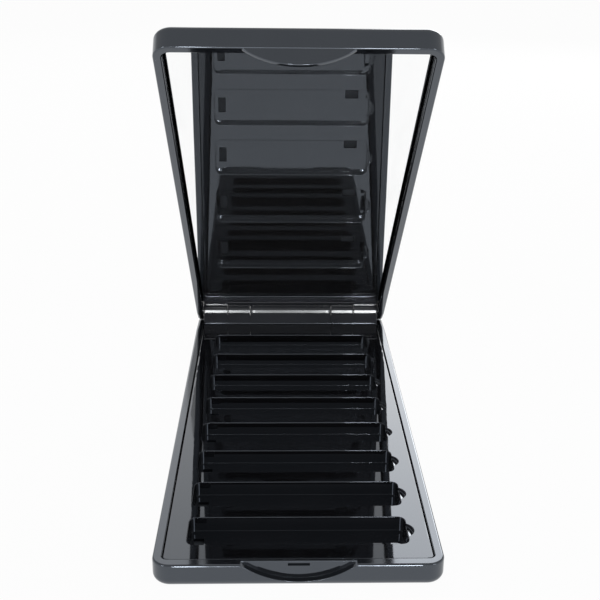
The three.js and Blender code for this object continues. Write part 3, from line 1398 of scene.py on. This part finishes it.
    def build(self, plastic: Material) -> None:
        """Makes and dresses the tray.

        Args:
            plastic: its finish.
        """
        half = self.case.width / 2 - self.base.side_wall - self.drop
        rear = self.base.barrel_front - self.base.rear_rim - self.drop
        deck = Rectangle(-half, half, self.base.front_rim + self.drop, rear, self.corner, self.corner)
        inner = deck.inset(self.border)
        between = [self.centre(index) - self.pitch / 2 for index in range(1, self.count)]
        bounds = [inner.front, *between, inner.rear]
        patches, tops, unders = [], [], []
        for index in range(self.count):
            shape = Rectangle(inner.left, inner.right, bounds[index], bounds[index + 1], 0.0, 0.0)
            for under, loops in ((False, tops), (True, unders)):
                patch, loop = self.cell(index, shape, under)
                patches.append(patch)
                loops.append(loop)
        patches.append(self.border_ring(tops, unders, deck))
        piece = make_piece("glossy_well_tray", [joined(patches)], self.case.base_points)
        cut(piece, self.slot_boxes(), self.case.base_points)
        dress(piece, plastic, Slot.TRAY, Body.BASE, "well_tray")


@dataclass
class LidCase:
    """Upper case, drawn shut: roof, walls, rounded ears beside the barrel, two lugs and a thumb tongue.

    Sizes are in millimetres. The ear's turn and the lug's end are angles about the hinge in degrees.
    """

    case: CaseFrame
    base: BaseCase
    wall: float = 2.1
    roof: float = 1.0
    roof_inset: float = 7.0
    ceiling_inset: float = 4.0
    ceiling_edge: float = 0.4
    top_edge: float = 1.6
    rim_edge: float = 0.4
    inner_corner: float = 0.3
    front_steps: int = 14
    wall_steps: int = 9
    ear_edge: float = 1.0
    ear_top_edge: float = 0.1
    ear_turn: float = 88.0
    ear_steps: int = 22
    ear_straight: int = 3
    clearance: float = 0.4
    web: float = 1.9
    lug_end: float = 450.0
    seam_y: float = 146.0
    hollow_steps: int = 8
    hidden_edge: float = 0.02
    tongue_clearance: float = 0.4
    tongue_setback: float = 0.25
    tongue_edge: float = 0.25
    tongue_steps: int = 97
    tongue_edge_steps: int = 6
    nub_rise: float = 0.2
    nub_inset: float = 0.15
    nub_root: float = 0.3
    nub_edge: float = 0.05
    nub_steps: int = 13
    leaf_reach: float = 2.7
    leaf_face: float = 3.25
    leaf_thickness: float = 0.13
    leaf_edge: float = 0.03

    @property
    def top(self) -> float:
        """Height of the roof over the base's rim plane."""
        return self.case.axis_z + self.base.barrel_radius

    @property
    def ceiling(self) -> float:
        """Height of the roof's underside over the base's rim plane."""
        return self.top - self.roof

    @property
    def web_front(self) -> float:
        """Y of the front of the lugs' webs, behind the mirror's rear edge."""
        return self.base.barrel_front - self.clearance - self.base.gap

    @property
    def tongue_back(self) -> float:
        """Y of the tongue's inner face."""
        return self.base.thumb.setback - self.tongue_clearance

    def channel(self) -> Patch:
        """Walls and roof in front of the hinge, as one profile carried from the left rear round the front.

        Its corners are the roof, the outer wall's top and foot, the rim, the inner wall's top and the
        ceiling.

        Returns:
            The closed body, cut off square at the seam before the hinge.
        """
        half, seam = self.case.width / 2, self.seam_y
        stations = Stations(spaced(STRAIGHT_REACH, self.front_steps), np.zeros(0), SIDE_PLACES, CORNER_STEPS)
        front, side, arc = self.front_steps, len(SIDE_PLACES), CORNER_STEPS + 1

        def path(distance: float) -> Array:
            """The outline drawn in by a distance, open at the rear.

            Args:
                distance: how far it is drawn in.

            Returns:
                Points from the left rear round the front to the right rear, shape (n, 2).
            """
            radius = max(self.base.front_corner - distance, self.inner_corner)
            shape = Rectangle(-half + distance, half - distance, distance, seam, radius, 0.0)
            loop = stations.loop(shape)[0]
            left, right = loop[front + 3 * arc + side:], loop[front:front + arc + side]
            return np.concatenate([[[shape.left, seam]], left, loop[:front], right, [[shape.right, seam]]])

        rim, ceiling = self.base.gap, self.ceiling
        outer, inner = path(0), path(self.wall)
        corners = np.stack([
            at_height(path(self.roof_inset), self.top), at_height(outer, self.top), at_height(outer, rim),
            at_height(inner, rim), at_height(inner, ceiling),
            at_height(path(self.wall + self.ceiling_inset), ceiling),
        ], 1)
        radii = [0, self.top_edge, self.rim_edge, self.rim_edge, self.ceiling_edge, 0]
        grid = rounded_profile(corners, radii, self.wall_steps)
        patch = Patch.loft(grid, wrap=False)
        rows, columns = grid.shape[:2]
        end = np.arange(columns)
        patch.faces.append(np.concatenate([end, ((rows - 1) * columns + end)[::-1]]).tolist())
        return patch

    def ear(self, side: Side) -> Patch:
        """Rounded end of a side wall: its section carried from the seam back round the hinge axis.

        At y = axis + R sin a the section reaches from axis - r cos a to axis + R cos a in z.

        Args:
            side: the end of the hinge that it is at.

        Returns:
            The closed ear.
        """
        case, radius = self.case, self.base.barrel_radius
        low_radius = case.axis_z - self.base.gap
        straight = np.linspace(self.seam_y, case.axis_y, self.ear_straight)
        turn = np.radians(np.linspace(0, self.ear_turn, self.ear_steps + 1))[1:]
        angle = np.concatenate([np.zeros(len(straight)), turn])
        y = np.concatenate([straight, case.axis_y + radius * np.sin(turn)])
        high, low = case.axis_z + radius * np.cos(angle), case.axis_z - low_radius * np.cos(angle)
        outer, inner = side.value * case.width / 2, side.value * (case.width / 2 - self.wall)
        xs = np.array([inner, inner, outer, outer, inner, inner])
        zs = np.stack([high, low, low, high, high, low], 1)
        corners = np.stack(np.broadcast_arrays(xs, y[:, None], zs), -1)
        radii = np.tile([0, self.rim_edge, self.rim_edge, self.top_edge, self.ear_top_edge, 0], (len(y), 1))
        behind = np.clip((y - self.seam_y) / (case.axis_y - self.seam_y), 0, 1)
        radii[:, 2] += (self.ear_edge - self.rim_edge) * behind
        ring = rounded_profile(corners, radii, ROUND_STEPS)[:, 1:-1]
        return Patch.loft(ring.transpose(1, 0, 2))

    def hinge_block(self, left: float, right: float, lug: bool) -> Patch:
        """The roof's rear edge behind the seam, hollowed round the barrel, or carried on into a lug.

        Args:
            left: x of one end.
            right: x of the other end.
            lug: adds the lug's round body on the hinge axis.

        Returns:
            The closed block.
        """
        case, radius, ceiling = self.case, self.base.barrel_radius, self.ceiling
        foot = [[self.seam_y, self.top], [self.seam_y, ceiling]]
        if lug:
            under = self.top - self.web
            meet = math.degrees(math.asin((under - case.axis_z) / radius))
            eased = self.base.eased_front + math.degrees(case.opening)
            round_body = eased_arc(case.axis, radius, 180 - meet, self.lug_end, eased)
            web = [[self.web_front, ceiling], [self.web_front, under]]
            return prism_along_x(np.concatenate([foot, web, round_body]), left, right, self.base.barrel_edge)
        hollow = radius + self.clearance
        start = math.degrees(math.asin((ceiling - case.axis_z) / hollow))
        end = math.degrees(math.asin(radius / hollow))
        edge = arc_points(case.axis, hollow, 180 - start, 180 - end, self.hollow_steps)
        return prism_along_x(np.concatenate([foot, edge]), left, right, self.hidden_edge)

    def leaf(self, left: float, right: float) -> Patch:
        """Thin leaf that joins the lugs over the mirror's rear edge: a flat oblong section carried along X.

        Args:
            left: x of one end.
            right: x of the other end.

        Returns:
            The closed leaf.
        """
        front, rear = self.web_front - self.leaf_reach, self.web_front
        face, back = self.leaf_face, self.leaf_face + self.leaf_thickness
        outline = np.array([[front, face], [rear, face], [rear, back], [front, back]])
        return prism_along_x(outline, left, right, self.leaf_edge)

    def tongue(self) -> Patch:
        """Thumb tongue: its section in Y and Z carried across X, ending on a round inside the thumb recess.

        Returns:
            The closed tongue.
        """
        thumb, root = self.base.thumb, self.base.gap + self.rim_edge
        radius, front, back = thumb.radius - self.tongue_clearance, self.tongue_setback, self.tongue_back
        reach = math.sqrt(radius**2 - (thumb.radius - thumb.depth - root) ** 2)
        x = reach * np.sin(spaced(math.pi / 2, self.tongue_steps))
        tip, flat = np.minimum(thumb.height(x, self.tongue_clearance), root), np.full_like(x, root)
        ys = np.array([back, front, front, back, back, front])
        zs = np.stack([flat, flat, tip, tip, flat, flat], 1)
        corners = np.stack(np.broadcast_arrays(x[:, None], ys, zs), -1)
        radii = [0, 0, self.tongue_edge, self.tongue_edge, 0, 0]
        ring = rounded_profile(corners, radii, self.tongue_edge_steps)[:, 1:-1]
        return Patch.loft(ring.transpose(1, 0, 2))

    def nub(self) -> Patch:
        """Latch nub on the tongue's inner face, a rounded bar along X.

        Returns:
            The closed nub.
        """
        base, root = self.base, self.tongue_back - self.nub_root
        half_height = base.latch_height / 2 - self.nub_inset
        middle = -base.latch_top - base.latch_height / 2
        bulge = spaced(math.pi / 2, self.nub_steps)
        y, z = self.tongue_back + self.nub_rise * np.cos(bulge), middle + half_height * np.sin(bulge)
        back = np.array([[root, middle + half_height], [root, middle - half_height]])
        reach = base.latch_half - self.nub_inset
        return prism_along_x(np.concatenate([np.stack([y, z], 1), back]), -reach, reach, self.nub_edge)

    def build(self, plastic: Material, hinge_painted_light: Material) -> None:
        """Makes and dresses the lid, with its lugs and the leaf between them.

        Args:
            plastic: finish of the case.
            hinge_painted_light: finish of the hinge, a satin copy of the case plastic whose paler colour is
                painted light.
        """
        base, inner = self.base, self.case.width / 2 - self.wall
        half_gap = base.split_gap / 2
        splits = [-inner, half_gap - base.outer_split, -base.inner_split - half_gap,
                  base.inner_split + half_gap, base.outer_split - half_gap, inner]
        spans = enumerate(zip(splits, splits[1:]))
        blocks = [self.hinge_block(left, right, index % 2 == 1) for index, (left, right) in spans]
        place = self.case.lid_points
        piece = make_piece("lid_case", [self.channel(), *blocks[::2], self.tongue(), self.nub()], place)
        ears = make_piece("lid_ears", [self.ear(side) for side in Side], place)
        cut(ears, base.pin_bores(), place)
        absorb(piece, ears)
        dress(piece, plastic, Slot.CASE, Body.LID, "lid_shell")
        lugs = make_piece("lid_lugs", [*blocks[1::2], self.leaf(splits[1], splits[4])], place)
        cut(lugs, base.pin_bores(), place)
        dress(lugs, hinge_painted_light, Slot.CASE, Body.LID, "lid_shell")


@dataclass
class LidMirror:
    """Mirror glass with softened edges on two strips of tape, drawn shut."""

    case: CaseFrame
    base: BaseCase
    lid: LidCase
    face: float = 3.4
    glass: float = 1.2
    corner: float = 1.6
    edge: float = 0.25
    inset: float = 4.0
    side_places: tuple[float, float, int] = (10.0, 138.0, 9)
    arc: int = 8
    edge_steps: int = 5

    def plate(self) -> Patch:
        """The glass as a profile carried round its outline: face, edge, back.

        Returns:
            The closed plate.
        """
        gap = self.base.gap
        half, rear = self.case.width / 2 - self.lid.wall - gap, self.lid.web_front - gap
        outline = Rectangle(-half, half, self.lid.wall + gap, rear, self.corner, self.corner)
        side_y = np.linspace(*self.side_places)
        straight = spaced(STRAIGHT_REACH, len(side_y))
        stations = Stations(straight, straight, side_y, self.arc)
        loop, middle = stations.loop(outline)[0], stations.loop(outline.inset(self.inset))[0]
        back = self.face + self.glass
        profile = ((middle, self.face), (loop, self.face), (loop, back), (middle, back))
        corners = np.stack([at_height(*ring) for ring in profile], 1)
        return Patch.loft(rounded_profile(corners, [0, self.edge, self.edge, 0], self.edge_steps))

    def build(self, silver: Material, tape: Material) -> None:
        """Makes and dresses the mirror, and gives the tape strips their finish.

        Args:
            silver: finish of the mirror.
            tape: finish of the strips.
        """
        piece = make_piece("mirror_plate", [self.plate()], self.case.lid_points)
        dress(piece, silver, Slot.MIRROR, Body.LID, "mirror")
        for name in ("mirror_tape_left", "mirror_tape_right"):
            strip = frame["nodes"][name]
            strip.data.materials.clear()
            strip.data.materials.append(tape)
            log.info("%s keeps its solid", name)


@dataclass
class HingePins:
    """Two steel wire pins on the hinge axis."""

    case: CaseFrame
    base: BaseCase
    recess: float = 0.4
    edge: float = 0.2

    def build(self, steel: Material) -> None:
        """Makes and dresses the pins.

        Args:
            steel: their finish.
        """
        far, near = self.case.width / 2 - self.recess, self.base.inner_split - self.base.pin_reach
        for side in Side:
            word = side.name.lower()
            left, right = sorted((side.value * far, side.value * near))
            rod = rod_patch(left, right, self.case.axis, self.base.pin_radius, self.edge)
            piece = make_piece(f"pin_{word}", [rod], self.case.base_points)
            dress(piece, steel, Slot.PIN, Body.BASE, f"hinge_pin_{word}")


@dataclass(frozen=True)
class Lamp:
    """A soft rectangular lamp that looks at a point.

    Attributes:
        name: name of the lamp.
        place: where it stands, in metres.
        aim: the point that it looks at.
        size: width and height in metres.
        watts: power.
    """

    name: str
    place: Triple
    aim: Triple
    size: Pair
    watts: float

    def build(self) -> None:
        """Adds the lamp to the scene, turned so that its face points from its place to its aim."""
        data = bpy.data.lights.new(self.name, "AREA")
        data.shape, data.energy = "RECTANGLE", self.watts
        data.size, data.size_y = self.size
        lamp = bpy.data.objects.new(self.name, data)
        lamp.location = self.place
        toward = np.array(self.aim) - np.array(self.place)
        flat = math.hypot(toward[0], toward[1])
        lamp.rotation_euler = (math.atan2(flat, -toward[2]), 0, math.atan2(toward[0], -toward[1]) + math.pi)
        bpy.context.collection.objects.link(lamp)


# Points that the lamps look at, in metres.
BARREL_AIM = (0.0, 0.073, 0.009)
RIGHT_AIM = (0.03, 0.05, 0.0)
LEFT_AIM = (-0.03, 0.05, 0.0)
MIDDLE_AIM = (0.0, 0.0, 0.0)


@dataclass
class Studio:
    """Pale floor, white surroundings, soft lamps and the camera of the photograph.

    The camera's place, lens and sensor are in millimetres, its place being in the case's drawing frame, and
    its turn is in degrees. Its clip range and the floor are in metres. The surroundings dull from white to
    the upper level between two heights of the direction.
    """

    case: CaseFrame
    camera_place: Triple = (-4.99, -194.53, 130.02)
    camera_turn: Triple = (69.30, -0.616, -1.497)
    lens: float = 63.48
    sensor: float = 36.0
    shift: Pair = (-0.010, 0.0333)
    clip: Pair = (0.01, 100.0)
    floor_size: float = 12.0
    floor_colour: Triple = (0.86, 0.86, 0.87)
    floor_roughness: float = 0.9
    floor_white: float = 0.96
    fill: float = 0.6
    upper: float = 0.6
    dulling: Pair = (0.2, 0.36)
    lamps: tuple[Lamp, ...] = (
        Lamp("right_softbox", (0.28, 0.86, 0.47), RIGHT_AIM, (0.36, 0.55), 1.85),
        Lamp("left_softbox", (-0.28, 0.86, 0.47), LEFT_AIM, (0.36, 0.55), 0.48),
        Lamp("low_right_card", (0.175, -1.43, 0.13), BARREL_AIM, (0.13, 0.22), 2.8),
        Lamp("low_left_card", (-0.155, -1.43, 0.13), BARREL_AIM, (0.09, 0.22), 2.2),
        Lamp("low_middle_card", (0.0, -1.43, 0.13), BARREL_AIM, (0.22, 0.22), 0.5),
        Lamp("right_core", (0.36, 0.84, 0.38), RIGHT_AIM, (0.16, 0.34), 0.65),
        Lamp("front_right_softbox", (0.62, -0.6, 0.42), MIDDLE_AIM, (0.2, 0.2), 1.0),
        Lamp("front_left_softbox", (-0.62, -0.6, 0.42), MIDDLE_AIM, (0.2, 0.2), 1.0),
    )

    def surroundings(self) -> None:
        """White world, duller above: white where it is seen or mirrored, a plain fill where it lights."""
        world = bpy.data.worlds.new("white_room")
        world.use_nodes = True
        nodes = Nodes(world.node_tree)
        background = nodes.tree.nodes["Background"]
        direction = nodes.add("ShaderNodeSeparateXYZ")
        nodes.join(nodes.add("ShaderNodeTexCoord").outputs["Generated"], direction.inputs[0])
        white = nodes.between(direction.outputs["Z"], *self.dulling, 1.0, self.upper)
        nodes.join(white, background.inputs["Color"])
        level = nodes.between(nodes.seen_rays(), 0, 1, self.fill, 1.0)
        nodes.join(level, background.inputs["Strength"])
        bpy.context.scene.world = world

    def floor(self) -> None:
        """Pale floor that reads as white and keeps the object's shadow."""
        half = self.floor_size / 2
        corners = [(-half, -half, 0), (half, -half, 0), (half, half, 0), (-half, half, 0)]
        mesh = bpy.data.meshes.new("floor")
        mesh.from_pydata(corners, [], [(0, 1, 2, 3)])
        material = bpy.data.materials.new("pale_floor")
        material.use_nodes = True
        nodes = Nodes(material.node_tree)
        shader, output = (nodes.tree.nodes[name] for name in ("Principled BSDF", "Material Output"))
        shader.inputs["Base Color"].default_value = (*self.floor_colour, 1)
        shader.inputs["Roughness"].default_value = self.floor_roughness
        glow = nodes.add("ShaderNodeEmission")
        glow.inputs["Strength"].default_value = 1.0
        mix = nodes.add("ShaderNodeMixShader")
        nodes.join(nodes.between(nodes.seen_rays(), 0, 1, 0, self.floor_white), mix.inputs["Fac"])
        nodes.join(shader.outputs[0], mix.inputs[1])
        nodes.join(glow.outputs[0], mix.inputs[2])
        nodes.join(mix.outputs[0], output.inputs["Surface"])
        mesh.materials.append(material)
        floor = bpy.data.objects.new("floor", mesh)
        bpy.context.collection.objects.link(floor)

    def camera(self) -> None:
        """Camera at the photograph's place, angle and framing."""
        data = bpy.data.cameras.new("camera")
        data.lens, data.sensor_width, data.sensor_fit = self.lens, self.sensor, "HORIZONTAL"
        data.shift_x, data.shift_y = self.shift
        data.clip_start, data.clip_end = self.clip
        camera = bpy.data.objects.new("camera", data)
        camera.location = self.case.base_points(np.array(self.camera_place))
        camera.rotation_euler = [math.radians(angle) for angle in self.camera_turn]
        bpy.context.collection.objects.link(camera)
        bpy.context.scene.camera = camera

    def build(self) -> None:
        """Sets up the studio."""
        bpy.context.scene.view_settings.view_transform = "Standard"
        self.surroundings()
        self.floor()
        self.camera()
        for lamp in self.lamps:
            lamp.build()


FINE_GRAIN = Pattern(3000, 2)
MOULD_WAVES = Pattern(60, 2)
UNDER_TRAY = Box((0, 0, 0.0025), (0.0292, 0.071, 0.0021))
CHARCOAL = MouldedPlastic(
    "charcoal_plastic", dark=(0.0040, 0.0042, 0.0050), pale=(0.0060, 0.0062, 0.0072), gloss=0.06, haze=0.1,
    grain=FINE_GRAIN, relief=0.000004, unpolished=UNDER_TRAY,
)
# The hinge parts share the case's moulding: a satin copy of its plastic, made paler as painted light on the
# barrel and lugs.
HINGE_PAINTED_LIGHT = MouldedPlastic(
    "hinge_plastic_painted_light", dark=(0.016, 0.017, 0.021), pale=(0.022, 0.023, 0.028), gloss=0.13, haze=0.18,
    grain=FINE_GRAIN, relief=0.000004, index=1.6, sheen=(0.95, 0.98, 1.0),
)
GLOSS_BLACK = MouldedPlastic(
    "gloss_black_plastic", dark=(0.0040, 0.0040, 0.0048), pale=(0.0055, 0.0055, 0.0064), gloss=0.02,
    haze=0.05, grain=MOULD_WAVES, relief=0.00001, index=1.75,
)
SILVER = SilveredGlass(
    "silvered_glass", silver=(0.985, 0.988, 0.988), tarnish=(0.94, 0.945, 0.945), polish=0.008, haze=0.03,
)
STEEL = DrawnSteel("drawn_steel", steel=(0.66, 0.67, 0.69), shadow=(0.42, 0.43, 0.45), roughness=(0.2, 0.38))
# Foam tape, darker in its cells' hollows as painted shade.
TAPE = FoamTape("foam_tape", foam=(0.78, 0.77, 0.72), cell=(0.5, 0.49, 0.45))


def main() -> None:
    """Builds the palette piece by piece, then its studio."""
    logging.basicConfig(level=logging.INFO, format="%(name)s: %(message)s")
    case = CaseFrame.from_frame(WellTray.drop)
    charcoal, hinge_painted_light = CHARCOAL.build(), HINGE_PAINTED_LIGHT.build()
    base = BaseCase(case)
    base.build(charcoal, hinge_painted_light)
    WellTray(case, base).build(GLOSS_BLACK.build())
    lid = LidCase(case, base)
    lid.build(charcoal, hinge_painted_light)
    LidMirror(case, base, lid).build(SILVER.build(), TAPE.build())
    HingePins(case, base).build(STEEL.build())
    Studio(case).build()


if __name__ == "__main__":
    main()
